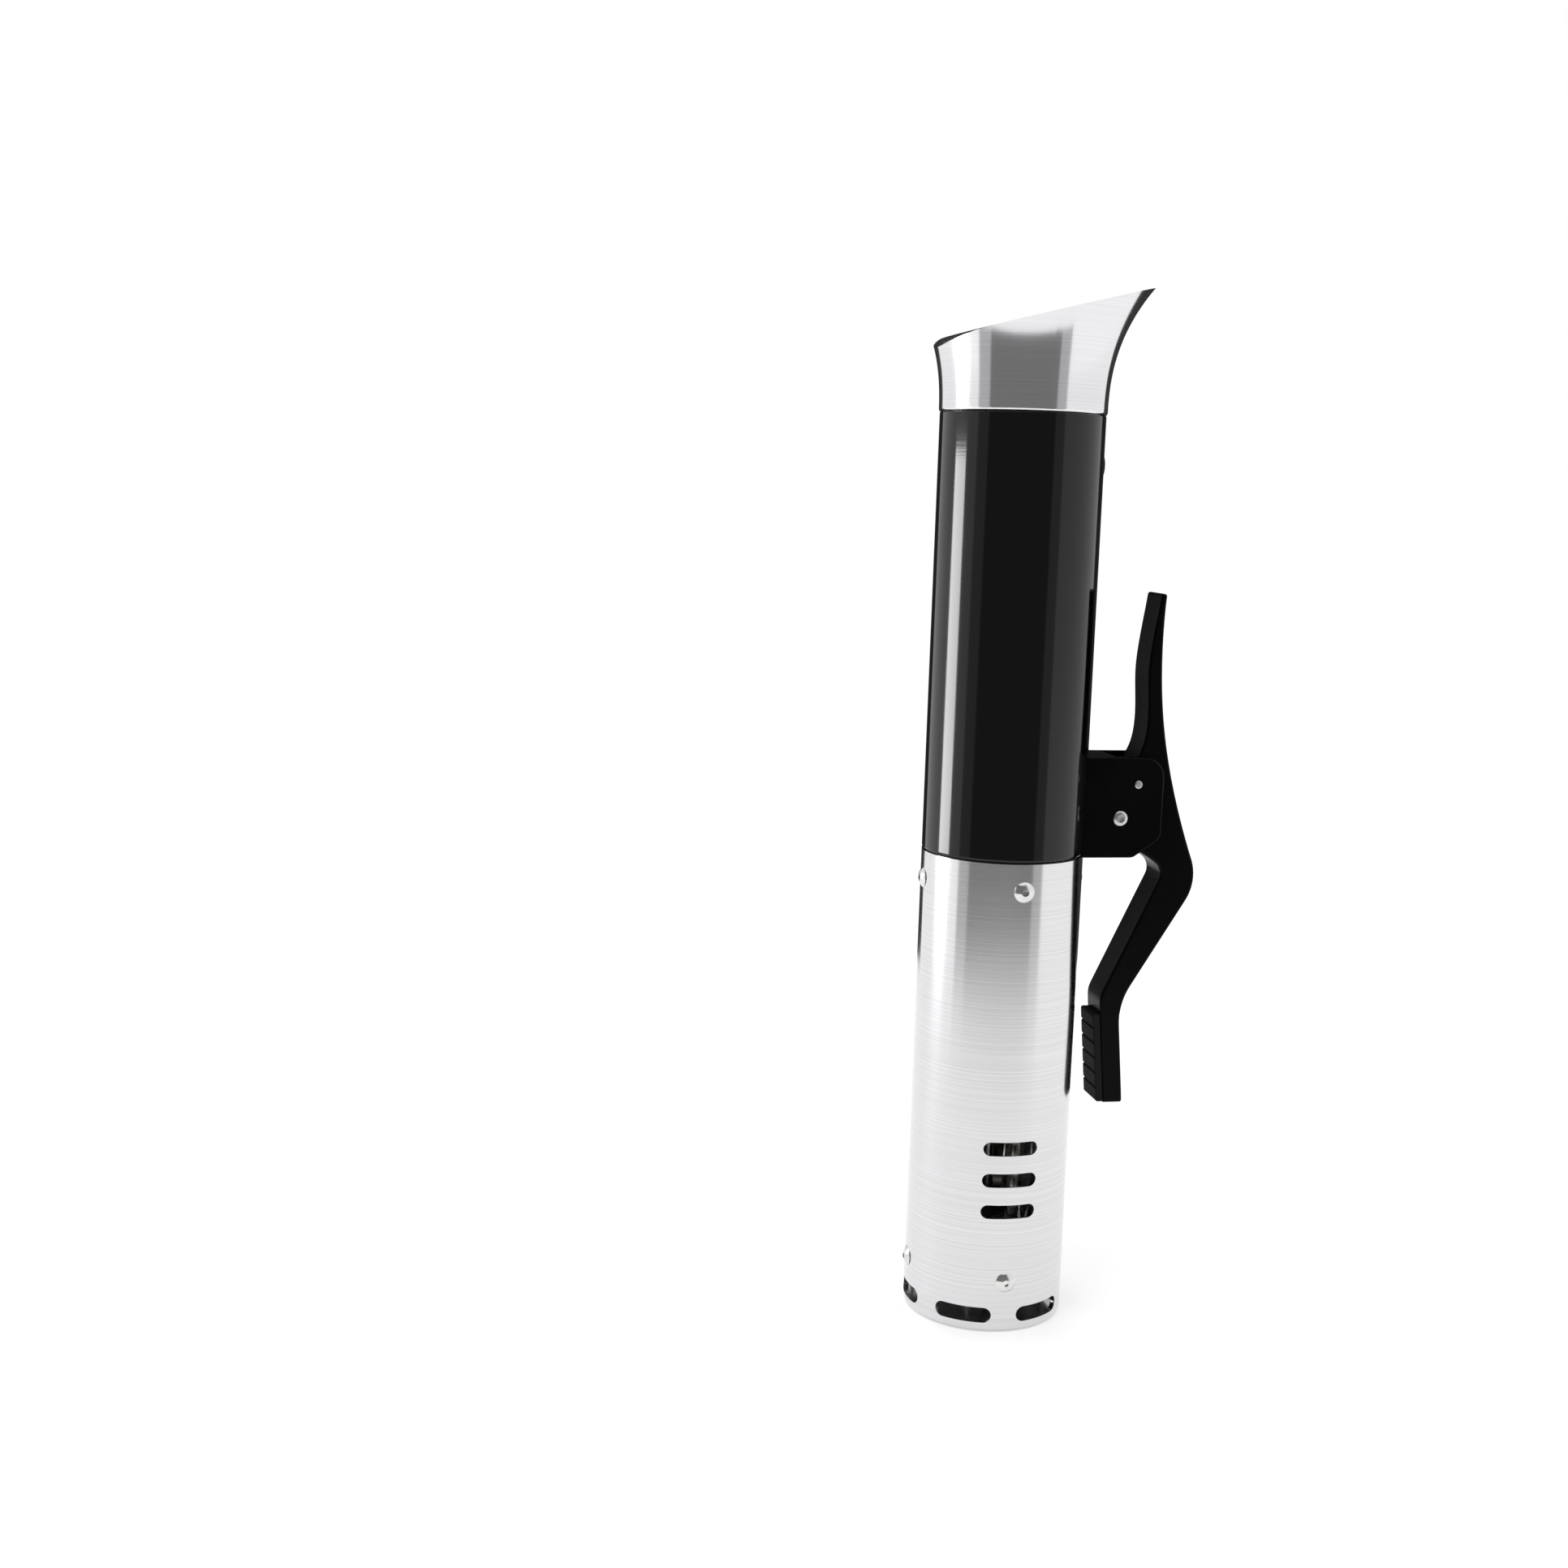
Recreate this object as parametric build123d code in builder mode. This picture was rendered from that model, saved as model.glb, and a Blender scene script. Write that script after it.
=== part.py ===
"""Sous vide circulator with a spring clamp.

+Z runs up the tube, the origin is the middle of the foot's underside, the display leans towards -Y and the
clamp is on +Y. Lengths are in millimetres and angles in degrees.
"""
from math import atan2, cos, degrees, hypot, radians, sin
import os

from build123d import *

os.makedirs("parts", exist_ok=True)

# ---- Driving dimensions -------------------------------------------------------------------------
TUBE_R = 31.0                 # outer radius of the body tube and of the skirt
SEAM_Z = 182.7                # where the dry body meets the wet skirt
HEAD_Z = 348.2                # where the body tube meets the head
CAP_H = 13.0                  # height of the base cap under the skirt

BODY_WALL = 2.4
SKIRT_WALL = 1.0
SEAT_GAP = 0.1                # radial gap of a spigot in its tube
SEAM_GROOVE = 0.3             # shadow line between two stacked tubes
RUNNING_GAP = 0.05            # radial gap of a turning shaft or pin
SCREW_GAP = 0.2               # radial gap of a screw in its clearance hole

# head
HEAD_BASE_R = 31.4
HEAD_FLARE = 14.3             # growth of the radius at HEAD_RISE above the seam
HEAD_RISE = 45.9
HEAD_POWER = 2.45
HEAD_WALL = 2.2
HEAD_LIP = 1.2                # rounding of the edge over the seam
RIM_TILT = 14.8               # slope of the display, high on the clamp side
RIM_Z = 383.35                # height of the rim plane on the tube's axis
RIM_WIDTH = 5.6
RIM_ROUNDING = 6.0            # radius of the rim's corner at its low side
ROUNDING_SPREAD = 58.0        # radius in the rim plane of the sweep that fades the rounding out
BEZEL_WIDTH = 2.2
GLASS_T = 2.0
GLASS_SINK = 0.8              # the glass lies this far under the rim
BEZEL_SINK = 0.4
SEAT_FLOOR = 2.0
WELL_R = 24.0                 # round opening under the glass for the display
WELL_SHIFT = 3.0
DISPLAY_BOARD_T = 1.6
SPIGOT_H = 9.0
SPIGOT_WALL = 2.2

# skirt and its screws
SLOT_Z = (48.0, 60.4, 72.8)
SLOT_W = 21.2
SLOT_H = 5.4
UPPER_SCREW_Z = 172.1
LOWER_SCREW_Z = 19.8
SCREW_HEAD_R = 3.7
SCREW_HEAD_H = 1.7
SCREW_SHANK_R = 1.5
SCREW_REACH = 3.0             # length of the shank under the head
HEX_ACROSS = 2.0

# clamp
PIVOT_Y, PIVOT_Z = 42.9, 196.9
STOP_Y, STOP_Z = 49.5, 210.0
OPENING_ANGLE = 13.0          # from the drawn pose until the stop pin ends its slot
CLOSING_ANGLE = 4.2
LEVER_W = 16.0
EAR_T = 3.0
EAR_GAP = 0.4
BRACKET_BOTTOM, BRACKET_TOP = 181.4, 220.4
BRACKET_REACH = 60.0
EAR_TOE, EAR_NOSE = 49.0, 188.8   # ends of the slope under the ears
SADDLE_Y = 35.6
PIVOT_R = 2.5
STOP_R = 1.6
BOSS_R = 6.5                  # lever's boss round the pivot
SPRING_SLOT_W = 8.0
SPRING_SLOT_R = 9.0
SPRING_WIRE_R = 0.6
SPRING_COIL_R = 4.1
PAD_T = 3.0
PAD_TILT = 5.2                # lean of the jaw in the drawn pose

# wet end
BULKHEAD_BOTTOM, BULKHEAD_TOP = 163.0, 192.0
MOTOR_FLOOR = 174.0
MOTOR_R = 21.0
MOTOR_H = 38.0
SHAFT_R = 2.5
SHAFT_BOTTOM = 5.0
SEAL_R = 7.0
SEAL_H = 4.0
HEATER_R = 3.1
HEATER_RING_R = 20.0
HEATER_LEGS = 6
HEATER_LOW, HEATER_HIGH = 34.0, 150.0
HEATER_TURN = 15.0            # angle of the first leg
IMPELLER_R = 23.0
IMPELLER_Z = 15.0
IMPELLER_H = 9.0
IMPELLER_BLADES = 6
BUSH_R = 4.5
COLLAR_TOP = 27.0
CAP_WALL = 2.0
CAP_FLOOR = 3.0
WINDOW_W = 22.0
WINDOW_H = 6.0
WINDOW_Z = 6.6

# seals in the spigots
SEAL_BITE = 1.0               # depth of a seal's groove
SEAL_W = 2.2

# cord inlet, in the back of the body above the clamp
CORD_Z = 330.0
CORD_BORE_R = 3.6
GLAND_R = 5.4
GLAND_FLANGE_R = 6.8
GLAND_PROUD = 0.3

# ---- Values worked out from them ----------------------------------------------------------------
RIM_NORMAL = (0, -sin(radians(RIM_TILT)), cos(radians(RIM_TILT)))
RIM_PLANE = Plane(origin=(0, 0, RIM_Z), x_dir=(1, 0, 0), z_dir=RIM_NORMAL)
SKIRT_IN_R = TUBE_R - SKIRT_WALL
BODY_IN_R = TUBE_R - BODY_WALL
SKIRT_SPIGOT_R = SKIRT_IN_R - SEAT_GAP
BODY_SPIGOT_R = BODY_IN_R - SEAT_GAP
SEAT_DEPTH = GLASS_SINK + GLASS_T
EAR_IN = LEVER_W / 2 + EAR_GAP
EAR_OUT = EAR_IN + EAR_T
HEAD_SEAL_Z = HEAD_Z - 6.5
BODY_SEAL_Z = BULKHEAD_TOP - 3.0
QUARTERS = [0, 90, 180, 270]
STEEL = (0.75, 0.75, 0.77)
BLACK = (0.04, 0.04, 0.045)
GREEN = (0.05, 0.3, 0.15)


def radial_plane(angle, radius, z):
    """A plane that faces outwards at this angle from +X, radius and height."""
    out = (cos(radians(angle)), sin(radians(angle)), 0)
    side = (-sin(radians(angle)), cos(radians(angle)), 0)
    return Plane(origin=(radius * out[0], radius * out[1], z), x_dir=side, z_dir=out)


def around(radius, angle, z=0.0):
    """The point at this radius, angle from +X and height."""
    return (radius * cos(radians(angle)), radius * sin(radians(angle)), z)


def finish(builder, name, colour):
    """Labels a finished piece and writes its STEP file."""
    builder.part.label = name
    builder.part.color = Color(*colour)
    export_step(builder.part, f"parts/{name}.step")


# ---- Seals between the tubes --------------------------------------------------------------------
def groove_cutter(z, spigot_radius):
    """The ring that is cut out of a spigot to make a seal's groove."""
    with BuildPart() as cutter:
        with BuildSketch(Plane.XY.offset(z)):
            Circle(spigot_radius + 1)
            Circle(spigot_radius - SEAL_BITE, mode=Mode.SUBTRACT)
        extrude(amount=SEAL_W)
    return cutter.part


def seal_ring(z, outer_radius):
    """Rounded rubber ring whose lower side is at z."""
    with BuildPart() as ring:
        with BuildSketch(Plane.XZ):
            with Locations((outer_radius - SEAL_BITE / 2, z + SEAL_W / 2)):
                RectangleRounded(SEAL_BITE, SEAL_W, 0.4)
        revolve(axis=Axis.Z)
    return ring


head_seal = seal_ring(HEAD_SEAL_Z, BODY_SPIGOT_R)
finish(head_seal, "head_seal", BLACK)
body_seal = seal_ring(BODY_SEAL_Z, BODY_SPIGOT_R)
finish(body_seal, "body_seal", BLACK)


# ---- Head ---------------------------------------------------------------------------------------
FLARE_TOP = HEAD_Z + 50.0
FLARE_STEPS = 8
SHELF_T = 2.0                 # ring that joins the head's wall to its spigot


def flare_radius(z):
    """Outer radius of the head at height z."""
    return HEAD_BASE_R + HEAD_FLARE * ((z - HEAD_Z) / HEAD_RISE) ** HEAD_POWER


def flare_points(start, inset):
    """Points of the flare's outline, moved inwards by inset."""
    heights = [start + (FLARE_TOP - start) * step / FLARE_STEPS for step in range(FLARE_STEPS + 1)]
    return [(flare_radius(z) - inset, z) for z in heights]


def flare_slab(inset, top, bottom=None, floor_z=HEAD_Z):
    """The solid inside the flare moved in by inset, between two depths under the rim plane."""
    points = flare_points(floor_z, inset)
    with BuildPart() as slab:
        with BuildSketch(Plane.XZ):
            with BuildLine():
                Spline(points)
                Polyline(points[-1], (0, FLARE_TOP), (0, floor_z), points[0])
            make_face()
        revolve(axis=Axis.Z)
        split(bisect_by=RIM_PLANE.offset(-top), keep=Keep.BOTTOM)
        if bottom is not None:
            split(bisect_by=RIM_PLANE.offset(-bottom), keep=Keep.TOP)
    return slab.part


def rim_point(along, above):
    """Where a point of the rim plane's own slope and normal lies on the plane X = 0."""
    tilt = radians(RIM_TILT)
    return (along * cos(tilt) - above * sin(tilt), RIM_Z + along * sin(tilt) + above * cos(tilt))


# the low corner of the rim is rounded by a wide disc that leaves the sides and the tip as they are
RIM_LOW = -36.1               # low point of the rim, along its slope
ROUNDING_MIDDLE = RIM_LOW + ROUNDING_SPREAD

with BuildPart() as rim_disc:
    with BuildSketch(Plane.YZ):
        with BuildLine():
            FilletPolyline(
                rim_point(ROUNDING_MIDDLE, 0), rim_point(RIM_LOW, 0), rim_point(RIM_LOW - 4, -30),
                rim_point(RIM_LOW - 20, -62), rim_point(ROUNDING_MIDDLE, -62),
                radius=(0, RIM_ROUNDING, 0, 0, 0), close=True)
        make_face()
    revolve(axis=Axis(origin=(0, *rim_point(ROUNDING_MIDDLE, 0)), direction=RIM_NORMAL))

SEAT_INSET = RIM_WIDTH
GLASS_INSET = RIM_WIDTH + BEZEL_WIDTH
FIT_GAP = 0.05                # gap between the pieces that lie in one another here

with BuildPart() as head_shell:
    add(flare_slab(0, -1))
    add(rim_disc.part, mode=Mode.INTERSECT)
    fillet(head_shell.edges().filter_by(GeomType.CIRCLE).group_by(Axis.Z)[0], radius=HEAD_LIP)
    add(flare_slab(SEAT_INSET, -1, SEAT_DEPTH), mode=Mode.SUBTRACT)
    add(flare_slab(HEAD_WALL, SEAT_DEPTH + SEAT_FLOOR, floor_z=HEAD_Z + SHELF_T), mode=Mode.SUBTRACT)
    with BuildSketch(RIM_PLANE.offset(-SEAT_DEPTH)):
        with Locations((0, WELL_SHIFT)):
            Circle(WELL_R)
    extrude(amount=-2 * SEAT_FLOOR, mode=Mode.SUBTRACT)
    with BuildSketch(Plane.XY.offset(HEAD_Z - SPIGOT_H)):
        Circle(BODY_SPIGOT_R)
    extrude(amount=SPIGOT_H)
    with BuildSketch(Plane.XY.offset(HEAD_Z - SPIGOT_H)):
        Circle(BODY_SPIGOT_R - SPIGOT_WALL)
    extrude(amount=SPIGOT_H + SHELF_T, mode=Mode.SUBTRACT)
    chamfer(head_shell.edges().filter_by(GeomType.CIRCLE).group_by(Axis.Z)[0], length=0.6)
    add(groove_cutter(HEAD_SEAL_Z, BODY_SPIGOT_R), mode=Mode.SUBTRACT)
finish(head_shell, "head_shell", STEEL)

with BuildPart() as display_bezel:
    add(flare_slab(SEAT_INSET + FIT_GAP, BEZEL_SINK, SEAT_DEPTH))
    add(flare_slab(GLASS_INSET, 0, SEAT_DEPTH), mode=Mode.SUBTRACT)
finish(display_bezel, "display_bezel", BLACK)

with BuildPart() as display_glass:
    add(flare_slab(GLASS_INSET + FIT_GAP, GLASS_SINK, SEAT_DEPTH))
finish(display_glass, "display_glass", BLACK)

with BuildPart() as display_board:
    with BuildSketch(RIM_PLANE.offset(-SEAT_DEPTH - SEAT_FLOOR)):
        with Locations((0, WELL_SHIFT)):
            Circle(WELL_R + 1.5)
    extrude(amount=-DISPLAY_BOARD_T)
    with BuildSketch(RIM_PLANE.offset(-SEAT_DEPTH - SEAT_FLOOR)):
        with Locations((0, WELL_SHIFT + 6)):
            RectangleRounded(30, 13, 1)
    extrude(amount=SEAT_FLOOR)
finish(display_board, "display_board", GREEN)


# ---- Body tube and cord gland -------------------------------------------------------------------
BRACKET_SCREW_Z = (187.0, 208.0)

with BuildPart() as body_tube:
    with BuildSketch(Plane.XY.offset(SEAM_Z + SEAM_GROOVE / 2)):
        Circle(TUBE_R)
        Circle(BODY_IN_R, mode=Mode.SUBTRACT)
    extrude(amount=HEAD_Z - SEAM_Z - SEAM_GROOVE / 2)
    fillet(body_tube.edges().filter_by(GeomType.CIRCLE).group_by(Axis.Z)[0].sort_by(SortBy.RADIUS)[-1], 1.2)
    fillet(body_tube.edges().filter_by(GeomType.CIRCLE).group_by(Axis.Z)[-1].sort_by(SortBy.RADIUS)[-1], 0.5)
    with BuildSketch(radial_plane(90, TUBE_R + 1, CORD_Z)):
        Circle(GLAND_R)
    extrude(amount=-6, mode=Mode.SUBTRACT)
    for screw_z in BRACKET_SCREW_Z:
        with BuildSketch(radial_plane(90, TUBE_R + 1, screw_z)):
            Circle(SCREW_SHANK_R)
        extrude(amount=-6, mode=Mode.SUBTRACT)
finish(body_tube, "body_tube", BLACK)

with BuildPart() as cord_gland:
    with BuildSketch(radial_plane(90, TUBE_R - 4, CORD_Z)):
        Circle(GLAND_FLANGE_R)
    extrude(amount=4 + GLAND_PROUD)
    with BuildSketch(Plane.XY.offset(CORD_Z)):
        Circle(TUBE_R)
    extrude(amount=2 * GLAND_FLANGE_R, both=True, mode=Mode.SUBTRACT)
    with BuildSketch(Plane.XY.offset(CORD_Z)):
        Circle(TUBE_R + 3)
        Circle(TUBE_R + GLAND_PROUD, mode=Mode.SUBTRACT)
    extrude(amount=2 * GLAND_FLANGE_R, both=True, mode=Mode.SUBTRACT)
    with BuildSketch(radial_plane(90, BODY_IN_R - 3, CORD_Z)):
        Circle(GLAND_R)
    extrude(amount=BODY_WALL + 3.4)
    with BuildSketch(radial_plane(90, BODY_IN_R - 4, CORD_Z)):
        Circle(CORD_BORE_R)
    extrude(amount=12, mode=Mode.SUBTRACT)
finish(cord_gland, "cord_gland", BLACK)


# ---- Skirt, its screws and the bulkhead it hangs from -------------------------------------------
with BuildPart() as skirt:
    with BuildSketch(Plane.XY.offset(CAP_H)):
        Circle(TUBE_R)
        Circle(SKIRT_IN_R, mode=Mode.SUBTRACT)
    extrude(amount=SEAM_Z - SEAM_GROOVE / 2 - CAP_H)
    with BuildSketch(Plane.YZ):
        with Locations([(0, z) for z in SLOT_Z]):
            SlotOverall(SLOT_W, SLOT_H)
    extrude(amount=TUBE_R + 1, both=True, mode=Mode.SUBTRACT)
    for screw_z in (LOWER_SCREW_Z, UPPER_SCREW_Z):
        for angle in QUARTERS:
            with BuildSketch(radial_plane(angle, TUBE_R + 1, screw_z)):
                Circle(SCREW_SHANK_R + SCREW_GAP)
            extrude(amount=-4, mode=Mode.SUBTRACT)
finish(skirt, "skirt", STEEL)


def screw_drill(z):
    """The four radial drills of the thread holes that the skirt's screws turn into."""
    with BuildPart() as drill:
        for angle in QUARTERS:
            with BuildSketch(radial_plane(angle, TUBE_R, z)):
                Circle(SCREW_SHANK_R)
            extrude(amount=-SCREW_REACH - 0.5)
    return drill.part


def dome_screws(z):
    """Four dome-head hexagon screws round the tube at height z."""
    with BuildPart() as screws:
        for angle in QUARTERS:
            with BuildSketch(radial_plane(angle, TUBE_R, z)):
                Circle(SCREW_HEAD_R)
            extrude(amount=SCREW_HEAD_H)
        fillet(screws.edges().filter_by(GeomType.CIRCLE).filter_by(
            lambda edge: hypot(edge.center().X, edge.center().Y) > TUBE_R + 1), SCREW_HEAD_H - 0.3)
        for angle in QUARTERS:
            with BuildSketch(radial_plane(angle, TUBE_R, z)):
                Circle(SCREW_SHANK_R)
            extrude(amount=-SCREW_REACH)
            with BuildSketch(radial_plane(angle, TUBE_R + SCREW_HEAD_H, z)):
                RegularPolygon(HEX_ACROSS / 2, 6, major_radius=False)
            extrude(amount=-1.2, mode=Mode.SUBTRACT)
    return screws


upper_screws = dome_screws(UPPER_SCREW_Z)
finish(upper_screws, "upper_skirt_screws", STEEL)
lower_screws = dome_screws(LOWER_SCREW_Z)
finish(lower_screws, "lower_skirt_screws", STEEL)

TEMPERATURE_PROBE = around(10.0, 190.0)
LEVEL_PROBES = (around(10.5, 80.0), around(10.5, 120.0))
TEMPERATURE_PROBE_R = 1.75
LEVEL_PROBE_R = 1.25
ROOT_Z = BULKHEAD_BOTTOM + 5  # how far rods reach up into the bulkhead

with BuildPart() as bulkhead:
    with BuildSketch(Plane.XY.offset(BULKHEAD_BOTTOM)):
        Circle(SKIRT_SPIGOT_R)
    extrude(amount=SEAM_Z - BULKHEAD_BOTTOM)
    with BuildSketch(Plane.XY.offset(SEAM_Z)):
        Circle(BODY_SPIGOT_R)
    extrude(amount=BULKHEAD_TOP - SEAM_Z)
    with BuildSketch(Plane.XY.offset(MOTOR_FLOOR)):
        Circle(MOTOR_R + 3)
    extrude(amount=BULKHEAD_TOP - MOTOR_FLOOR, mode=Mode.SUBTRACT)
    with BuildSketch(Plane.XY.offset(BULKHEAD_BOTTOM)):
        Circle(SEAL_R)
    extrude(amount=SEAL_H, mode=Mode.SUBTRACT)
    with BuildSketch(Plane.XY.offset(BULKHEAD_BOTTOM)):
        Circle(SHAFT_R + RUNNING_GAP)
    extrude(amount=20, mode=Mode.SUBTRACT)
    add(groove_cutter(BODY_SEAL_Z, BODY_SPIGOT_R), mode=Mode.SUBTRACT)
    add(screw_drill(UPPER_SCREW_Z), mode=Mode.SUBTRACT)
    with BuildSketch(radial_plane(90, TUBE_R, BRACKET_SCREW_Z[0])):
        Circle(SCREW_SHANK_R)
    extrude(amount=-5.5, mode=Mode.SUBTRACT)
    with BuildSketch(Plane.XY.offset(BULKHEAD_BOTTOM)):
        for leg in (0, HEATER_LEGS - 1):
            with Locations(around(HEATER_RING_R, HEATER_TURN + 60 * leg)):
                Circle(HEATER_R)
        with Locations(TEMPERATURE_PROBE):
            Circle(TEMPERATURE_PROBE_R)
        with Locations(LEVEL_PROBES):
            Circle(LEVEL_PROBE_R)
    extrude(amount=ROOT_Z - BULKHEAD_BOTTOM, mode=Mode.SUBTRACT)
finish(bulkhead, "bulkhead", BLACK)

with BuildPart() as shaft_seal:
    with BuildSketch(Plane.XY.offset(BULKHEAD_BOTTOM)):
        Circle(SEAL_R)
        Circle(SHAFT_R + RUNNING_GAP, mode=Mode.SUBTRACT)
    extrude(amount=SEAL_H)
    chamfer(shaft_seal.edges().filter_by(GeomType.CIRCLE).group_by(Axis.Z)[0].sort_by(SortBy.RADIUS)[0], 1.0)
finish(shaft_seal, "shaft_seal", BLACK)


# ---- Base cap with the lower bush ---------------------------------------------------------------
BUSH_BOTTOM, BUSH_TOP = 4.0, 11.0

with BuildPart() as base_cap:
    with BuildSketch():
        Circle(TUBE_R)
    extrude(amount=CAP_H)
    fillet(base_cap.edges().group_by(Axis.Z)[0], 1.5)
    with BuildSketch(Plane.XY.offset(CAP_FLOOR)):
        Circle(TUBE_R - CAP_WALL)
    extrude(amount=CAP_H, mode=Mode.SUBTRACT)
    with BuildSketch(Plane.XY.offset(WINDOW_Z + WINDOW_H / 2)):
        Circle(SKIRT_SPIGOT_R)
        Circle(SKIRT_SPIGOT_R - CAP_WALL, mode=Mode.SUBTRACT)
    extrude(amount=COLLAR_TOP - WINDOW_Z - WINDOW_H / 2)
    add(screw_drill(LOWER_SCREW_Z), mode=Mode.SUBTRACT)
    for angle in range(30, 390, 60):
        with BuildSketch(radial_plane(angle, TUBE_R + 1, WINDOW_Z)):
            SlotOverall(WINDOW_W, WINDOW_H)
        extrude(amount=-9, mode=Mode.SUBTRACT)
    with BuildSketch():
        Circle(BUSH_R + 3)
    extrude(amount=BUSH_TOP)
    with BuildSketch(Plane.XY.offset(BUSH_BOTTOM)):
        Circle(BUSH_R)
    extrude(amount=BUSH_TOP, mode=Mode.SUBTRACT)
finish(base_cap, "base_cap", STEEL)

with BuildPart() as shaft_bush:
    with BuildSketch(Plane.XY.offset(BUSH_BOTTOM)):
        Circle(BUSH_R)
    extrude(amount=BUSH_TOP - BUSH_BOTTOM)
    with BuildSketch(Plane.XY.offset(SHAFT_BOTTOM - 0.3)):
        Circle(SHAFT_R + RUNNING_GAP)
    extrude(amount=BUSH_TOP, mode=Mode.SUBTRACT)
finish(shaft_bush, "shaft_bush", BLACK)


# ---- Motor, shaft and impeller ------------------------------------------------------------------
SHAFT_TOP = MOTOR_FLOOR + 30.0

with BuildPart() as motor:
    with BuildSketch(Plane.XY.offset(MOTOR_FLOOR)):
        Circle(MOTOR_R)
    extrude(amount=MOTOR_H)
    chamfer(motor.edges().group_by(Axis.Z)[-1], 1.5)
    with BuildSketch(Plane.XY.offset(MOTOR_FLOOR)):
        Circle(MOTOR_R + 2.5)
    extrude(amount=3)
    with BuildSketch(Plane.XY.offset(MOTOR_FLOOR)):
        Circle(SHAFT_R + RUNNING_GAP)
    extrude(amount=SHAFT_TOP + 0.5 - MOTOR_FLOOR, mode=Mode.SUBTRACT)
finish(motor, "motor", STEEL)

with BuildPart() as motor_shaft:
    with BuildSketch(Plane.XY.offset(SHAFT_BOTTOM)):
        Circle(SHAFT_R)
    extrude(amount=SHAFT_TOP - SHAFT_BOTTOM)
    chamfer(motor_shaft.edges().filter_by(GeomType.CIRCLE), 0.5)
finish(motor_shaft, "motor_shaft", STEEL)

HUB_R = 6.0
BLADE_T = 1.2
BLADE_SWEEP = 50.0            # how far a blade's tip trails its root
SHROUD_T = 1.6

with BuildPart() as impeller:
    with BuildSketch(Plane.XY.offset(IMPELLER_Z)):
        Circle(HUB_R)
    extrude(amount=IMPELLER_H + 3)
    with BuildSketch(Plane.XY.offset(IMPELLER_Z)):
        with PolarLocations(0, IMPELLER_BLADES):
            with BuildLine():
                blade_line = ThreePointArc(
                    around(HUB_R - 1, 0), around(IMPELLER_R * 0.62, -BLADE_SWEEP * 0.34),
                    around(IMPELLER_R - 0.5, -BLADE_SWEEP))
                offset(blade_line, amount=BLADE_T / 2)
            make_face()
    extrude(amount=IMPELLER_H - SHROUD_T)
    with BuildSketch(Plane.XY.offset(IMPELLER_Z + IMPELLER_H - SHROUD_T)):
        Circle(IMPELLER_R)
    extrude(amount=SHROUD_T)
    with BuildSketch(Plane.XY.offset(IMPELLER_Z)):
        Circle(SHAFT_R)
    extrude(amount=IMPELLER_H + 3, mode=Mode.SUBTRACT)
finish(impeller, "impeller", BLACK)


# ---- Heater and probes --------------------------------------------------------------------------
def heater_route():
    """Corners of the heater's single tube: legs round a ring, joined low and high by turn."""
    points = []
    for leg in range(HEATER_LEGS):
        angle = HEATER_TURN + 60 * leg
        heights = [HEATER_HIGH, HEATER_LOW]
        if leg % 2:
            heights.reverse()
        if leg == 0:
            heights[0] = ROOT_Z
        if leg == HEATER_LEGS - 1:
            heights[-1] = ROOT_Z
        points += [around(HEATER_RING_R, angle, z) for z in heights]
    return points


with BuildPart() as heater_element:
    with BuildLine() as heater_path:
        FilletPolyline(*heater_route(), radius=HEATER_RING_R / 2 - 0.1)
    with BuildSketch(Plane(origin=heater_path.line @ 0, z_dir=heater_path.line % 0)):
        Circle(HEATER_R)
    sweep(path=heater_path.line)
finish(heater_element, "heater_element", STEEL)

with BuildPart() as temperature_probe:
    with BuildSketch(Plane.XY.offset(52)):
        with Locations(TEMPERATURE_PROBE):
            Circle(TEMPERATURE_PROBE_R)
    extrude(amount=ROOT_Z - 52)
    fillet(temperature_probe.edges().group_by(Axis.Z)[0], TEMPERATURE_PROBE_R - 0.1)
finish(temperature_probe, "temperature_probe", STEEL)

with BuildPart() as level_probes:
    for place, bottom in zip(LEVEL_PROBES, (78, 146)):
        with BuildSketch(Plane.XY.offset(bottom)):
            with Locations(place):
                Circle(LEVEL_PROBE_R)
        extrude(amount=ROOT_Z - bottom)
finish(level_probes, "level_probes", STEEL)


# ---- Power board in the dry body ----------------------------------------------------------------
FRAME_Z = MOTOR_FLOOR + MOTOR_H
BOARD_W, BOARD_H, BOARD_T = 46.0, 84.0, 1.6
POST_W, POST_D = 4.0, 6.0

with BuildPart() as board_frame:
    with BuildSketch(Plane.XY.offset(FRAME_Z)):
        Circle(BODY_SPIGOT_R)
    extrude(amount=3)
    with BuildSketch(Plane.XY.offset(FRAME_Z + 3)):
        with Locations((BOARD_W / 2, 0), (-BOARD_W / 2, 0)):
            Rectangle(POST_W, POST_D)
    extrude(amount=BOARD_H)
    with BuildSketch(Plane.XY.offset(FRAME_Z + 3)):
        Rectangle(BOARD_W, BOARD_T)
    extrude(amount=BOARD_H + 5, mode=Mode.SUBTRACT)
finish(board_frame, "board_frame", BLACK)

with BuildPart() as power_board:
    with BuildSketch(Plane.XY.offset(FRAME_Z + 3)):
        Rectangle(BOARD_W, BOARD_T)
    extrude(amount=BOARD_H)
    with BuildSketch(Plane.XZ.offset(BOARD_T / 2)):
        with Locations((-9, FRAME_Z + 20)):
            Rectangle(16, 19)
        with Locations((10, FRAME_Z + 24)):
            Circle(6)
        with Locations((0, FRAME_Z + 54)):
            Rectangle(24, 20)
        with Locations((0, FRAME_Z + 76)):
            Rectangle(18, 6)
    extrude(amount=11)
finish(power_board, "power_board", GREEN)


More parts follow.
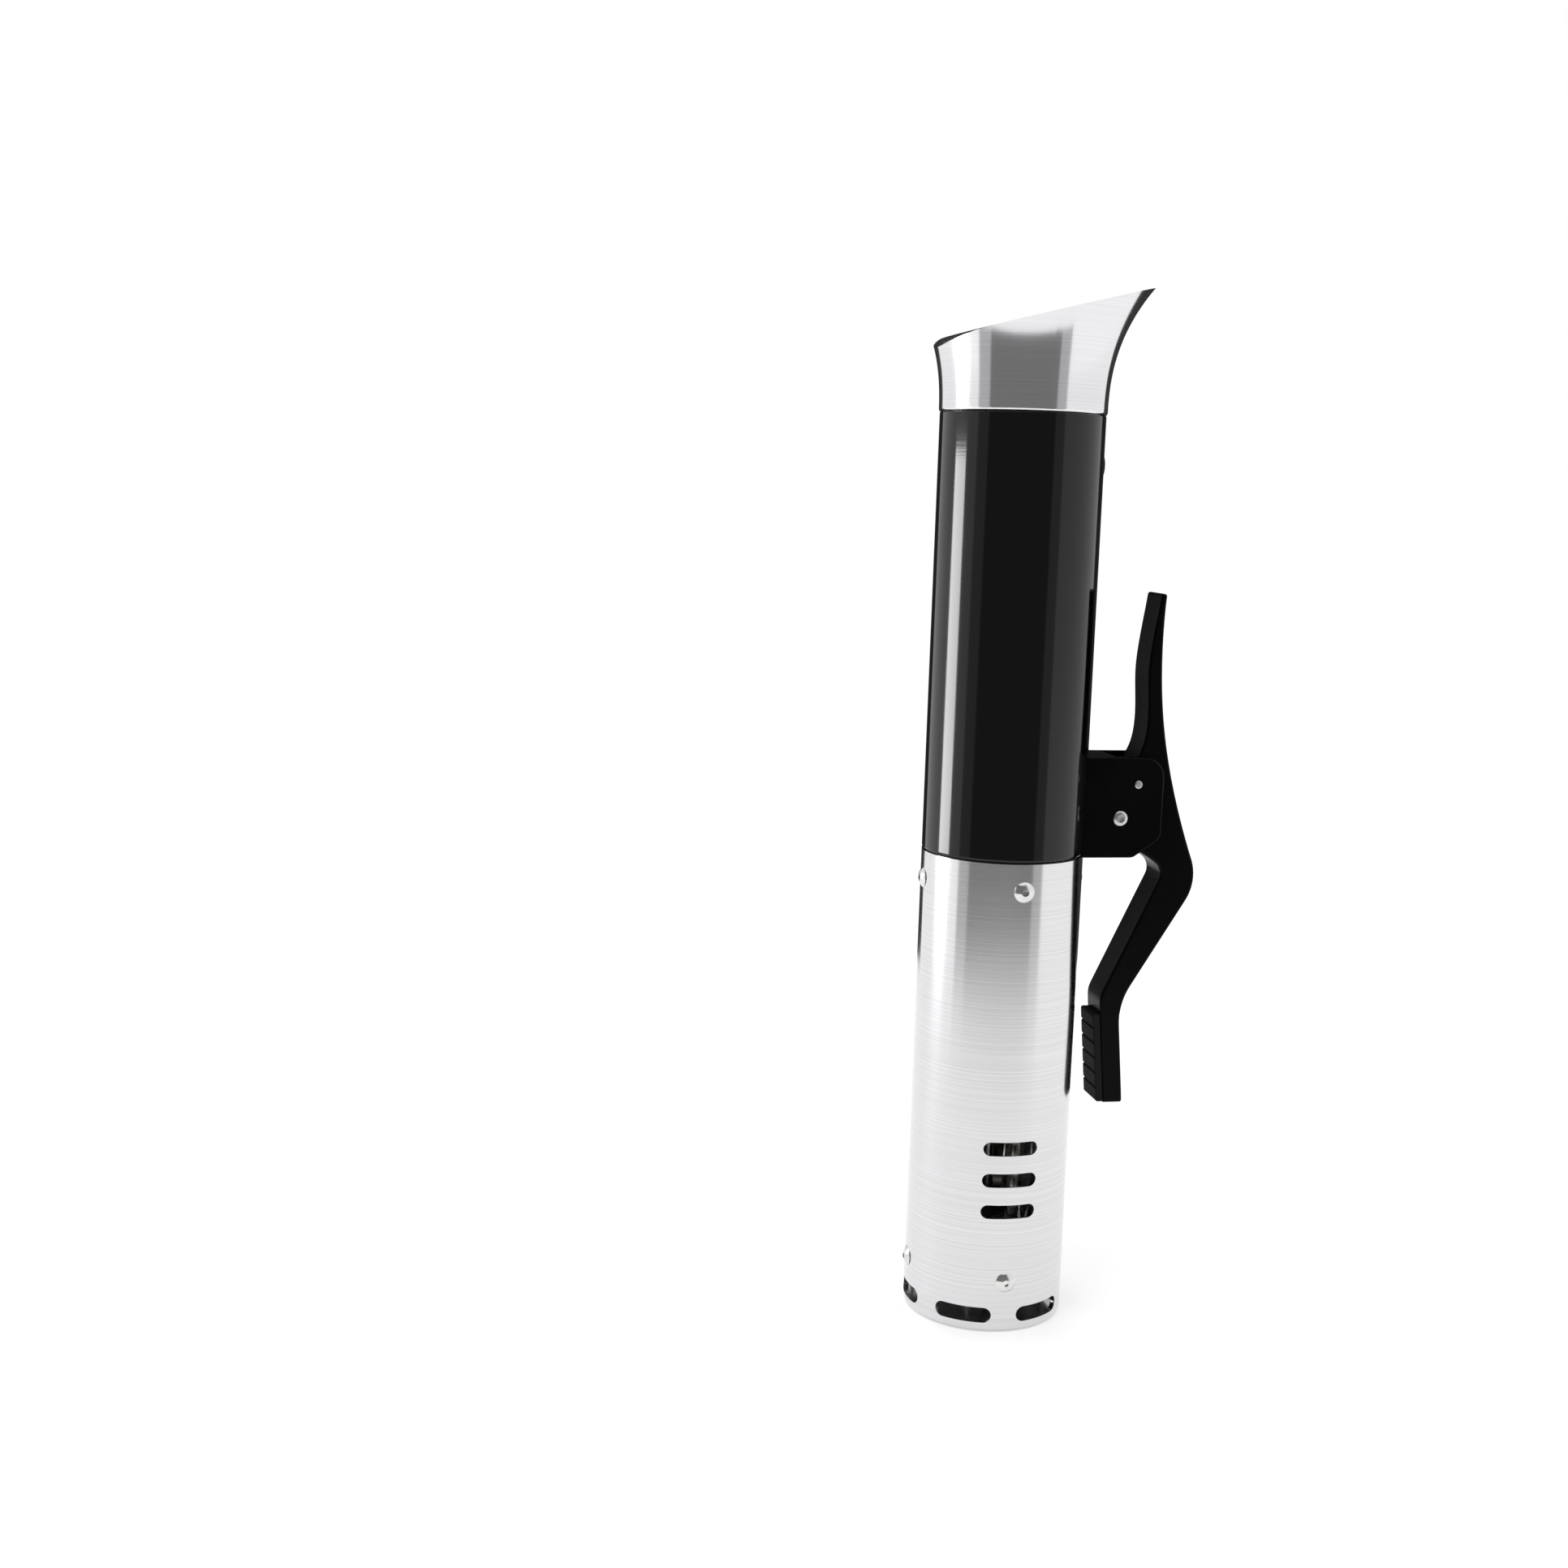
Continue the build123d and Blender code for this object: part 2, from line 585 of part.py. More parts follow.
# ---- Clamp bracket ------------------------------------------------------------------------------
with BuildPart() as clamp_bracket:
    with BuildSketch(Plane.YZ):
        with BuildLine():
            FilletPolyline(
                (TUBE_R - 4, BRACKET_TOP), (TUBE_R - 4, BRACKET_BOTTOM), (EAR_TOE, BRACKET_BOTTOM),
                (BRACKET_REACH, EAR_NOSE), (BRACKET_REACH, BRACKET_TOP), radius=(0, 0, 4, 5, 8), close=True)
        make_face()
    extrude(amount=EAR_OUT, both=True)
    fillet(clamp_bracket.faces().sort_by(Axis.X)[0].edges(), 0.8)
    fillet(clamp_bracket.faces().sort_by(Axis.X)[-1].edges(), 0.8)
    with BuildSketch(Plane.YZ):
        with BuildLine():
            Polyline(
                (SADDLE_Y, BRACKET_BOTTOM + 3), (44, BRACKET_BOTTOM + 3), (44, BRACKET_BOTTOM - 1),
                (BRACKET_REACH + 1, BRACKET_BOTTOM - 1), (BRACKET_REACH + 1, BRACKET_TOP + 1),
                (41, BRACKET_TOP + 1), (41, BRACKET_TOP - 3), (SADDLE_Y, BRACKET_TOP - 3), close=True)
        make_face()
    extrude(amount=EAR_IN, both=True, mode=Mode.SUBTRACT)
    with BuildSketch(Plane.XY.offset(BRACKET_BOTTOM - 1)):
        Circle(TUBE_R)
    extrude(amount=BRACKET_TOP - BRACKET_BOTTOM + 2, mode=Mode.SUBTRACT)
    with BuildSketch(Plane.YZ):
        with Locations((PIVOT_Y, PIVOT_Z)):
            Circle(PIVOT_R)
        with Locations((STOP_Y, STOP_Z)):
            Circle(STOP_R)
    extrude(amount=EAR_OUT, both=True, mode=Mode.SUBTRACT)
    for screw_z in BRACKET_SCREW_Z:
        with BuildSketch(radial_plane(90, SADDLE_Y, screw_z)):
            Circle(SCREW_SHANK_R + SCREW_GAP)
        extrude(amount=-6, mode=Mode.SUBTRACT)
finish(clamp_bracket, "clamp_bracket", BLACK)

with BuildPart() as bracket_screws:
    for screw_z in BRACKET_SCREW_Z:
        with BuildSketch(radial_plane(90, SADDLE_Y, screw_z)):
            Circle(2.4)
        extrude(amount=1.4)
        with BuildSketch(radial_plane(90, SADDLE_Y, screw_z)):
            Circle(SCREW_SHANK_R)
        extrude(amount=-9)
        with BuildSketch(radial_plane(90, SADDLE_Y + 1.4, screw_z)):
            RegularPolygon(HEX_ACROSS / 2, 6, major_radius=False)
        extrude(amount=-0.9, mode=Mode.SUBTRACT)
finish(bracket_screws, "bracket_screws", STEEL)

PIVOT_HEAD_R = 3.1
PIVOT_HEAD_H = 1.3

with BuildPart() as pivot_pin:
    with BuildSketch(Plane.YZ):
        with Locations((PIVOT_Y, PIVOT_Z)):
            Circle(PIVOT_R)
    extrude(amount=EAR_OUT, both=True)
    for side in (1, -1):
        with BuildSketch(Plane.YZ.offset(side * EAR_OUT)):
            with Locations((PIVOT_Y, PIVOT_Z)):
                Circle(PIVOT_HEAD_R)
        extrude(amount=side * PIVOT_HEAD_H)
    fillet(pivot_pin.edges().filter_by(GeomType.CIRCLE).filter_by(
        lambda edge: abs(edge.center().X) > EAR_OUT + 1), 0.9)
    with BuildSketch(Plane.YZ.offset(EAR_OUT + PIVOT_HEAD_H)):
        with Locations((PIVOT_Y, PIVOT_Z)):
            RegularPolygon(1.25, 6, major_radius=False)
    extrude(amount=-2, mode=Mode.SUBTRACT)
finish(pivot_pin, "pivot_pin", STEEL)

with BuildPart() as stop_pin:
    with BuildSketch(Plane.YZ):
        with Locations((STOP_Y, STOP_Z)):
            Circle(STOP_R)
    extrude(amount=EAR_OUT + 0.7, both=True)
    fillet(stop_pin.edges().filter_by(GeomType.CIRCLE), 0.5)
finish(stop_pin, "stop_pin", STEEL)


# ---- Clamp lever --------------------------------------------------------------------------------
STOP_ARM = hypot(STOP_Y - PIVOT_Y, STOP_Z - PIVOT_Z)
STOP_BEARING = degrees(atan2(STOP_Z - PIVOT_Z, STOP_Y - PIVOT_Y))
STOP_SLACK = 1.0              # extra angle at each end of the stop's slot

# the foot's inner face, which the pad sits on, and the pad's own face
FOOT_TOP, FOOT_BOTTOM = 119.0, 82.8
FOOT_IN_TOP = 40.7
PAD_TOP, PAD_BOTTOM = FOOT_TOP - 0.6, FOOT_BOTTOM + 0.3
FOOT_LEAN = sin(radians(PAD_TILT)) / cos(radians(PAD_TILT))


def foot_inner(z):
    """Distance of the foot's inner face from the tube's axis at height z."""
    return FOOT_IN_TOP + (FOOT_TOP - z) * FOOT_LEAN


PAD_STUD_R, PAD_STUD_H = 1.8, 3.0
LEVER_EDGE = 1.0
FOOT_NORMAL = (0, -cos(radians(PAD_TILT)), -sin(radians(PAD_TILT)))
PAD_STUDS = [
    Plane(origin=(0, foot_inner(z), z), x_dir=(1, 0, 0), z_dir=FOOT_NORMAL) for z in (91.0, 110.0)]


def tangent_point(bearing):
    """The point of the pivot boss at this angle, counted from +Y towards +Z."""
    return (PIVOT_Y + BOSS_R * cos(radians(bearing)), PIVOT_Z + BOSS_R * sin(radians(bearing)))


with BuildPart() as clamp_lever:
    with BuildSketch(Plane.YZ):
        with BuildLine():
            handle_back = Spline((58.1, 278.5), (57.8, 262.0), (60.1, 232.8), (67.0, 202.5), (74.8, 179.6))
            elbow = FilletPolyline((74.8, 179.6), (77.6, 171.1), (48.1, 122.4), (51.2, 88.0), radius=(19, 26))
            foot_end = FilletPolyline(
                (51.2, 88.0), (51.6, FOOT_BOTTOM), (foot_inner(FOOT_BOTTOM), FOOT_BOTTOM), radius=1)
            foot_face = Line((foot_inner(FOOT_BOTTOM), FOOT_BOTTOM), (foot_inner(FOOT_TOP), FOOT_TOP))
            arm = FilletPolyline(
                (foot_inner(FOOT_TOP), FOOT_TOP), (40.2, 125.6), (63.6, 176.6), tangent_point(237.7),
                radius=(10, 6))
            boss = ThreePointArc(tangent_point(237.7), tangent_point(190), tangent_point(150.3))
            neck = Line(tangent_point(150.3), (50.6, 221.0))
            handle_front = Spline(
                (50.6, 221.0), (53.1, 229.5), (52.9, 246.0), (55.3, 277.0),
                tangents=[(0.495, 0.869), (0.15, 1)])
            tip = FilletPolyline((55.3, 277.0), (56.1, 283.0), (58.4, 282.7), (58.1, 278.5), radius=(1, 1))
        make_face()
    extrude(amount=LEVER_W / 2, both=True)
    fillet(clamp_lever.faces().sort_by(Axis.X)[0].edges(), LEVER_EDGE)
    fillet(clamp_lever.faces().sort_by(Axis.X)[-1].edges(), LEVER_EDGE)
    with BuildSketch(Plane.YZ):
        with Locations((PIVOT_Y, PIVOT_Z)):
            Circle(SPRING_SLOT_R)
    extrude(amount=SPRING_SLOT_W / 2, both=True, mode=Mode.SUBTRACT)
    with BuildSketch(Plane.YZ):
        with Locations((PIVOT_Y, PIVOT_Z)):
            Circle(PIVOT_R + RUNNING_GAP)
        with BuildLine():
            stop_track = CenterArc(
                (PIVOT_Y, PIVOT_Z), STOP_ARM, STOP_BEARING - OPENING_ANGLE - STOP_SLACK,
                OPENING_ANGLE + CLOSING_ANGLE + 2 * STOP_SLACK)
            offset(stop_track, amount=STOP_R + 0.25)
        make_face()
    extrude(amount=LEVER_W, both=True, mode=Mode.SUBTRACT)
    for stud in PAD_STUDS:
        with BuildSketch(stud):
            Circle(PAD_STUD_R)
        extrude(amount=-PAD_STUD_H, mode=Mode.SUBTRACT)
finish(clamp_lever, "clamp_lever", BLACK)

with BuildPart() as jaw_pad:
    with BuildSketch(Plane.YZ):
        with BuildLine():
            pad_back = Line((foot_inner(PAD_BOTTOM), PAD_BOTTOM), (foot_inner(PAD_TOP), PAD_TOP))
            pad_round = FilletPolyline(
                pad_back @ 1, (foot_inner(PAD_TOP) - PAD_T, PAD_TOP),
                (foot_inner(PAD_BOTTOM) - PAD_T, PAD_BOTTOM), pad_back @ 0, radius=0.9)
        make_face()
    extrude(amount=LEVER_W / 2 - 0.5, both=True)
    fillet(jaw_pad.faces().sort_by(Axis.X)[0].edges(), 0.5)
    fillet(jaw_pad.faces().sort_by(Axis.X)[-1].edges(), 0.5)
    for stud in PAD_STUDS:
        with BuildSketch(stud):
            Circle(PAD_STUD_R)
        extrude(amount=-PAD_STUD_H)
    for step in range(5):
        rib_z = FOOT_BOTTOM + 6.2 + step * 6
        with BuildSketch(Plane.YZ):
            with Locations((foot_inner(rib_z) - PAD_T, rib_z)):
                Circle(0.6)
        extrude(amount=LEVER_W, both=True, mode=Mode.SUBTRACT)
finish(jaw_pad, "jaw_pad", BLACK)

# the torsion spring's coil sits in the lever's slot; one leg bears on the saddle and one in the slot
SPRING_TURNS = 4
SPRING_PITCH = 2 * SPRING_WIRE_R + 0.15
COIL_LENGTH = SPRING_TURNS * SPRING_PITCH
LEVER_LEG = 7.2
SADDLE_LEG = PIVOT_Y - SADDLE_Y

with BuildPart() as clamp_spring:
    with BuildLine() as spring_wire:
        coil = Helix(pitch=SPRING_PITCH, height=COIL_LENGTH, radius=SPRING_COIL_R,
                     center=(-COIL_LENGTH / 2, PIVOT_Y, PIVOT_Z), direction=(1, 0, 0))
        lever_leg = Line(coil @ 0 - LEVER_LEG * (coil % 0), coil @ 0)
        saddle_leg = Line(coil @ 1, coil @ 1 + SADDLE_LEG * (coil % 1))
    with BuildSketch(Plane(origin=lever_leg @ 0, z_dir=coil % 0)):
        Circle(SPRING_WIRE_R)
    sweep(path=spring_wire.wire())
finish(clamp_spring, "clamp_spring", STEEL)
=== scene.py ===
"""Sous vide circulator with a spring clamp: finishes, display face, studio and camera."""
from math import atan2, cos, degrees, hypot, pi, radians, sin, sqrt, tan

import bpy
from mathutils import Matrix, Vector


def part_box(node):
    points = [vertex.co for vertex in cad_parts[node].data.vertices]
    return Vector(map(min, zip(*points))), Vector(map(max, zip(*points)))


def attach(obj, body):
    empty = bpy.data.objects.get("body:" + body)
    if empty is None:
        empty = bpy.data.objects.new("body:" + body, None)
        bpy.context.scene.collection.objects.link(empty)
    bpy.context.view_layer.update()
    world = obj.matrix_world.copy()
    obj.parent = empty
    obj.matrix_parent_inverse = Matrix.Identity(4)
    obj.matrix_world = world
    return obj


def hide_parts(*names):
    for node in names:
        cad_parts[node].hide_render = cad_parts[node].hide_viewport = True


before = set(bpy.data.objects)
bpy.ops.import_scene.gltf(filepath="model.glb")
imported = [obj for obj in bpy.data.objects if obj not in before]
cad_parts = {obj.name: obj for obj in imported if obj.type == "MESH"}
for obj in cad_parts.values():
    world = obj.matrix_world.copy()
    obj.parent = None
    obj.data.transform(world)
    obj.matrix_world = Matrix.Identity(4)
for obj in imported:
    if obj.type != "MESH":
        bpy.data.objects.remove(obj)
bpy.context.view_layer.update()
bpy.ops.object.select_all(action="DESELECT")


# ---- finishes ----------------------------------------------------------------------------------
def new_finish(name, colour, roughness, metallic=0.0, **sockets):
    """A Principled finish with its plain values on the shader's own sockets."""
    finish = bpy.data.materials.new(name)
    finish.use_nodes = True
    shader = finish.node_tree.nodes["Principled BSDF"]
    shader.inputs["Base Color"].default_value = (*colour, 1)
    shader.inputs["Roughness"].default_value = roughness
    shader.inputs["Metallic"].default_value = metallic
    for socket, value in sockets.items():
        shader.inputs[socket.replace("_", " ")].default_value = value
    return finish


def add_node(finish, kind, **settings):
    node = finish.node_tree.nodes.new(kind)
    for setting, value in settings.items():
        setattr(node, setting, value)
    return node


def shader_of(finish):
    return finish.node_tree.nodes["Principled BSDF"]


def grain(finish, stretch, detail=3.0):
    """Noise in the piece's own space, finer along the larger numbers of stretch, which are per metre."""
    tree = finish.node_tree
    place = add_node(finish, "ShaderNodeTexCoord")
    scaled = add_node(finish, "ShaderNodeMapping")
    scaled.inputs["Scale"].default_value = stretch
    pattern = add_node(finish, "ShaderNodeTexNoise")
    pattern.inputs["Scale"].default_value = 1.0
    pattern.inputs["Detail"].default_value = detail
    tree.links.new(place.outputs["Object"], scaled.inputs["Vector"])
    tree.links.new(scaled.outputs["Vector"], pattern.inputs["Vector"])
    return pattern.outputs["Fac"]


def spread(finish, value, low, high):
    """Turns noise into numbers from low to high."""
    scaled = add_node(finish, "ShaderNodeMapRange")
    scaled.inputs["From Min"].default_value = 0.25
    scaled.inputs["From Max"].default_value = 0.75
    scaled.inputs["To Min"].default_value = low
    scaled.inputs["To Max"].default_value = high
    finish.node_tree.links.new(value, scaled.inputs["Value"])
    return scaled.outputs["Result"]


def tint(finish, value, dark, light):
    """Turns noise into a colour between dark and light and gives it to the finish."""
    blend = add_node(finish, "ShaderNodeMix", data_type="RGBA")
    blend.inputs["A"].default_value = (*dark, 1)
    blend.inputs["B"].default_value = (*light, 1)
    links = finish.node_tree.links
    links.new(spread(finish, value, 0.0, 1.0), blend.inputs["Factor"])
    links.new(blend.outputs["Result"], shader_of(finish).inputs["Base Color"])


def vary_roughness(finish, value, low, high):
    finish.node_tree.links.new(spread(finish, value, low, high), shader_of(finish).inputs["Roughness"])


def relief(finish, value, depth, before=None):
    """Adds fine relief, depth in metres, on top of any relief that came before."""
    bump = add_node(finish, "ShaderNodeBump")
    bump.inputs["Strength"].default_value = 1.0
    bump.inputs["Distance"].default_value = depth
    links = finish.node_tree.links
    links.new(value, bump.inputs["Height"])
    if before is not None:
        links.new(before, bump.inputs["Normal"])
    links.new(bump.outputs["Normal"], shader_of(finish).inputs["Normal"])
    return bump.outputs["Normal"]


def brushed_metal(name, dark, light, roughness, depth):
    """Metal turned on a lathe: fine rings round the tube, a little cloudiness and a few rubbed patches."""
    finish = new_finish(name, light, roughness, 1.0, Anisotropic=0.6, Anisotropic_Rotation=0.25)
    rings = grain(finish, (3, 3, 1500), 4)
    wide_rings = grain(finish, (2, 2, 260), 2)
    clouds = grain(finish, (14, 14, 9), 3)
    tint(finish, rings, dark, light)
    vary_roughness(finish, clouds, roughness - 0.04, roughness + 0.06)
    under = relief(finish, wide_rings, depth * 0.5)
    relief(finish, rings, depth * 0.5, under)
    turned = add_node(finish, "ShaderNodeTangent", direction_type="RADIAL", axis="Z")
    finish.node_tree.links.new(turned.outputs["Tangent"], shader_of(finish).inputs["Tangent"])
    return finish


def moulded_plastic(name, dark, light, roughness, depth, pores=2600):
    """Moulded plastic: fine spark texture, slight shade and gloss changes where it is handled."""
    finish = new_finish(name, light, roughness, IOR=1.48, Specular_IOR_Level=0.35)
    fine = grain(finish, (pores, pores, pores), 2)
    broad = grain(finish, (38, 38, 38), 4)
    tint(finish, broad, dark, light)
    vary_roughness(finish, broad, roughness - 0.04, roughness + 0.05)
    relief(finish, fine, depth)
    return finish


def plain_steel(name, dark, light, roughness):
    finish = new_finish(name, light, roughness, 1.0)
    clouds = grain(finish, (260, 260, 260), 3)
    tint(finish, clouds, dark, light)
    vary_roughness(finish, clouds, roughness - 0.05, roughness + 0.08)
    relief(finish, grain(finish, (1600, 1600, 1600), 2), 0.000004)
    return finish


head_metal = brushed_metal("satin_aluminium", (0.70, 0.70, 0.72), (0.80, 0.80, 0.82), 0.11, 0.0000016)
skirt_metal = brushed_metal("brushed_stainless", (0.60, 0.60, 0.61), (0.78, 0.78, 0.79), 0.17, 0.000004)

body_lacquer = new_finish("black_lacquer", (0.001, 0.001, 0.0015), 0.12, IOR=1.48, Specular_IOR_Level=0.4)
tint(body_lacquer, grain(body_lacquer, (6, 6, 500), 3), (0.0005, 0.0005, 0.0007), (0.0012, 0.0012, 0.0016))
vary_roughness(body_lacquer, grain(body_lacquer, (12, 12, 20), 3), 0.07, 0.12)
relief(body_lacquer, grain(body_lacquer, (60, 60, 1500), 3), 0.000006)

# The clamp and the rubbers are almost without shine.
WORN_PLASTIC_SHINE, RUBBER_SHINE = 0.07, 0.09
clamp_plastic = moulded_plastic(
    "clamp_black_nylon", (0.0006, 0.0006, 0.0008), (0.0013, 0.0013, 0.0015), 0.27, 0.000012)
shader_of(clamp_plastic).inputs["Specular IOR Level"].default_value = WORN_PLASTIC_SHINE
bezel_plastic = moulded_plastic("bezel_black", (0.006, 0.006, 0.006), (0.010, 0.010, 0.010), 0.36, 0.00001)
inner_plastic = moulded_plastic(
    "inner_grey_plastic", (0.055, 0.057, 0.06), (0.08, 0.082, 0.086), 0.42, 0.00002)
impeller_plastic = moulded_plastic(
    "impeller_grey_acetal", (0.040, 0.040, 0.044), (0.055, 0.055, 0.060), 0.38, 0.00001)
seal_rubber = moulded_plastic(
    "black_seal_rubber", (0.012, 0.012, 0.012), (0.020, 0.020, 0.020), 0.62, 0.00003)
pad_rubber = moulded_plastic(
    "grip_pad_rubber", (0.006, 0.006, 0.006), (0.011, 0.011, 0.011), 0.66, 0.00006, 1500)
gland_rubber = moulded_plastic(
    "gland_black_rubber", (0.006, 0.006, 0.006), (0.010, 0.010, 0.010), 0.55, 0.00003)
for dull_rubber in (pad_rubber, gland_rubber):
    shader_of(dull_rubber).inputs["Specular IOR Level"].default_value = RUBBER_SHINE

screw_steel = plain_steel("screw_steel", (0.52, 0.52, 0.53), (0.74, 0.74, 0.75), 0.18)
pin_steel = plain_steel("pin_steel", (0.50, 0.49, 0.48), (0.70, 0.69, 0.68), 0.24)
spring_steel = plain_steel("spring_steel", (0.34, 0.34, 0.35), (0.50, 0.50, 0.51), 0.28)
motor_metal = plain_steel("motor_zinc", (0.22, 0.22, 0.24), (0.32, 0.32, 0.34), 0.38)
heater_steel = plain_steel("heater_sheath", (0.42, 0.40, 0.38), (0.62, 0.60, 0.57), 0.26)

circuit_board = moulded_plastic(
    "circuit_board_green", (0.018, 0.13, 0.06), (0.028, 0.20, 0.09), 0.42, 0.00002)

glass = new_finish("dark_display_glass", (0.003, 0.003, 0.004), 0.035, IOR=1.52)
glass_smears = grain(glass, (30, 45, 30), 4)
vary_roughness(glass, glass_smears, 0.02, 0.07)
tint(glass, glass_smears, (0.0025, 0.0025, 0.003), (0.004, 0.004, 0.005))

finish_of_node = {
    "head_shell": head_metal,
    "display_bezel": bezel_plastic,
    "display_glass": glass,
    "display_board": circuit_board,
    "head_seal": seal_rubber,
    "body_seal": seal_rubber,
    "body_tube": body_lacquer,
    "cord_gland": gland_rubber,
    "skirt": skirt_metal,
    "upper_skirt_screws": screw_steel,
    "lower_skirt_screws": screw_steel,
    "bulkhead": inner_plastic,
    "shaft_seal": seal_rubber,
    "base_cap": skirt_metal,
    "shaft_bush": inner_plastic,
    "motor": motor_metal,
    "motor_shaft": pin_steel,
    "impeller": impeller_plastic,
    "heater_element": heater_steel,
    "temperature_probe": heater_steel,
    "level_probes": heater_steel,
    "board_frame": inner_plastic,
    "power_board": circuit_board,
    "clamp_bracket": clamp_plastic,
    "bracket_screws": screw_steel,
    "pivot_pin": pin_steel,
    "stop_pin": pin_steel,
    "clamp_lever": clamp_plastic,
    "jaw_pad": pad_rubber,
    "clamp_spring": spring_steel,
}
for node_name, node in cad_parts.items():
    node.data.materials.clear()
    node.data.materials.append(finish_of_node[node_name])

# ---- skirt screws ------------------------------------------------------------------------------
polished_steel = plain_steel("polished_screw_steel", (0.66, 0.65, 0.64), (0.80, 0.79, 0.78), 0.10)
SKIRT_HEAD_R, SKIRT_HEAD_H = 0.0039, 0.00168
SKIRT_SHANK_R, SKIRT_SHANK_LONG = 0.00148, 0.003
SKIRT_SOCKET_R, SKIRT_SOCKET_DEEP = 0.00115, 0.0009
PIN_SHANK_R, PIN_DOME_H = 0.0024, 0.0012
PIN_SOCKET_R, PIN_SOCKET_DEEP = 0.00125, 0.0008
PIN_END_IN = 0.0013
HEAD_FOOT_H = 0.0001
DOME_STEPS = 12


def select_faces(piece, wanted):
    """Leaves the piece in edit mode with only the wanted faces selected."""
    bpy.ops.object.mode_set(mode="EDIT")
    bpy.ops.mesh.select_mode(type="FACE")
    bpy.ops.mesh.select_all(action="DESELECT")
    bpy.ops.object.mode_set(mode="OBJECT")
    for face in piece.data.polygons:
        face.select = wanted(face)
    bpy.ops.object.mode_set(mode="EDIT")


def domed_screw(shank, shank_long, head, tall, socket, deep, full_edge):
    """One screw that stands on the origin and points up: shank, foot, domed head and hexagon socket.
    The head is part of a ball, or, with full_edge, a flatter dome whose side rises straight up."""
    bpy.ops.object.select_all(action="DESELECT")
    bpy.ops.mesh.primitive_cylinder_add(
        vertices=48, radius=shank, depth=shank_long, end_fill_type="NGON", location=(0, 0, -shank_long / 2))
    screw = bpy.context.object
    bpy.ops.object.transform_apply(location=True, rotation=True, scale=True)
    ball = (head ** 2 + tall ** 2) / (2 * tall)
    lip = socket + 0.0002
    rings = [(head - HEAD_FOOT_H, 0.0), (head, HEAD_FOOT_H)]
    for step in range(1, DOME_STEPS + 1):
        if full_edge:
            turn = pi / 2 * step / DOME_STEPS
            wide = lip + (head - lip) * cos(turn)
            rise = tall * sin(turn)
        else:
            wide = head - (head - lip) * step / DOME_STEPS
            rise = sqrt(ball ** 2 - wide ** 2) - (ball - tall)
        rings.append((wide, HEAD_FOOT_H + rise))
    rings += [(socket, rings[-1][1] - 0.00004), (socket - 0.00002, rings[-1][1] - deep)]
    now_at, now_wide = 0.0, shank
    select_faces(screw, lambda face: face.normal.z > 0.9)
    for wide, height in rings:
        bpy.ops.mesh.extrude_region_move(TRANSFORM_OT_translate={"value": (0, 0, height - now_at)})
        bpy.ops.transform.resize(value=(wide / now_wide, wide / now_wide, 1), center_override=(0, 0, 0))
        now_at, now_wide = height, wide
    bpy.ops.object.mode_set(mode="OBJECT")
    for vertex in screw.data.vertices:
        reach = hypot(vertex.co.x, vertex.co.y)
        if vertex.co.z > 0.0001 and 0.0001 < reach < socket + 0.00001:
            turn = atan2(vertex.co.y, vertex.co.x) % radians(60) - radians(30)
            flat = socket * cos(radians(30)) / cos(turn)
            vertex.co.x, vertex.co.y = vertex.co.x * flat / reach, vertex.co.y * flat / reach
    bpy.ops.object.mode_set(mode="EDIT")
    bpy.ops.mesh.select_all(action="SELECT")
    bpy.ops.mesh.normals_make_consistent(inside=False)
    bpy.ops.object.mode_set(mode="OBJECT")
    bpy.ops.object.shade_smooth_by_angle(angle=radians(38))
    return screw


def settle(piece, place, turn, finish):
    """Sets a finished piece down where it belongs, with its place in its mesh."""
    piece.location = place
    piece.rotation_euler = turn
    bpy.ops.object.select_all(action="DESELECT")
    piece.select_set(True)
    bpy.context.view_layer.objects.active = piece
    bpy.ops.object.transform_apply(location=True, rotation=True, scale=True)
    piece.data.materials.clear()
    piece.data.materials.append(finish)
    piece.select_set(False)
    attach(piece, "housing")
    return piece


def copy_of(piece, name):
    twin = piece.copy()
    twin.data = piece.data.copy()
    twin.name = twin.data.name = name
    bpy.context.scene.collection.objects.link(twin)
    return twin


master_screw = domed_screw(SKIRT_SHANK_R, SKIRT_SHANK_LONG, SKIRT_HEAD_R, SKIRT_HEAD_H,
                           SKIRT_SOCKET_R, SKIRT_SOCKET_DEEP, False)
for row, node_name in (("upper", "upper_skirt_screws"), ("lower", "lower_skirt_screws")):
    lowest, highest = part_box(node_name)
    screw_height = (lowest[2] + highest[2]) / 2
    for quarter in range(4):
        bearing = quarter * pi / 2
        screw = copy_of(master_screw, f"{row}_screw_{quarter + 1}")
        spot = highest[0] - SKIRT_HEAD_H - HEAD_FOOT_H
        settle(screw, (spot * cos(bearing), spot * sin(bearing), screw_height), (0, pi / 2, bearing),
               polished_steel)
        if quarter == 0:
            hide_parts(node_name)
bpy.data.objects.remove(master_screw)

lowest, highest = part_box("pivot_pin")
pin_end = domed_screw(PIN_SHANK_R, highest[0] - PIN_END_IN, (highest[2] - lowest[2]) / 2, PIN_DOME_H,
                      PIN_SOCKET_R, PIN_SOCKET_DEEP, True)
for side, bearing in ((1, 0.0), (-1, pi)):
    end = copy_of(pin_end, "pivot_end_near" if side == 1 else "pivot_end_far")
    settle(end, (side * (highest[0] - PIN_END_IN), (lowest[1] + highest[1]) / 2, (lowest[2] + highest[2]) / 2),
           (0, pi / 2, bearing), pin_steel)
    if side == 1:
        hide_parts("pivot_pin")
bpy.data.objects.remove(pin_end)

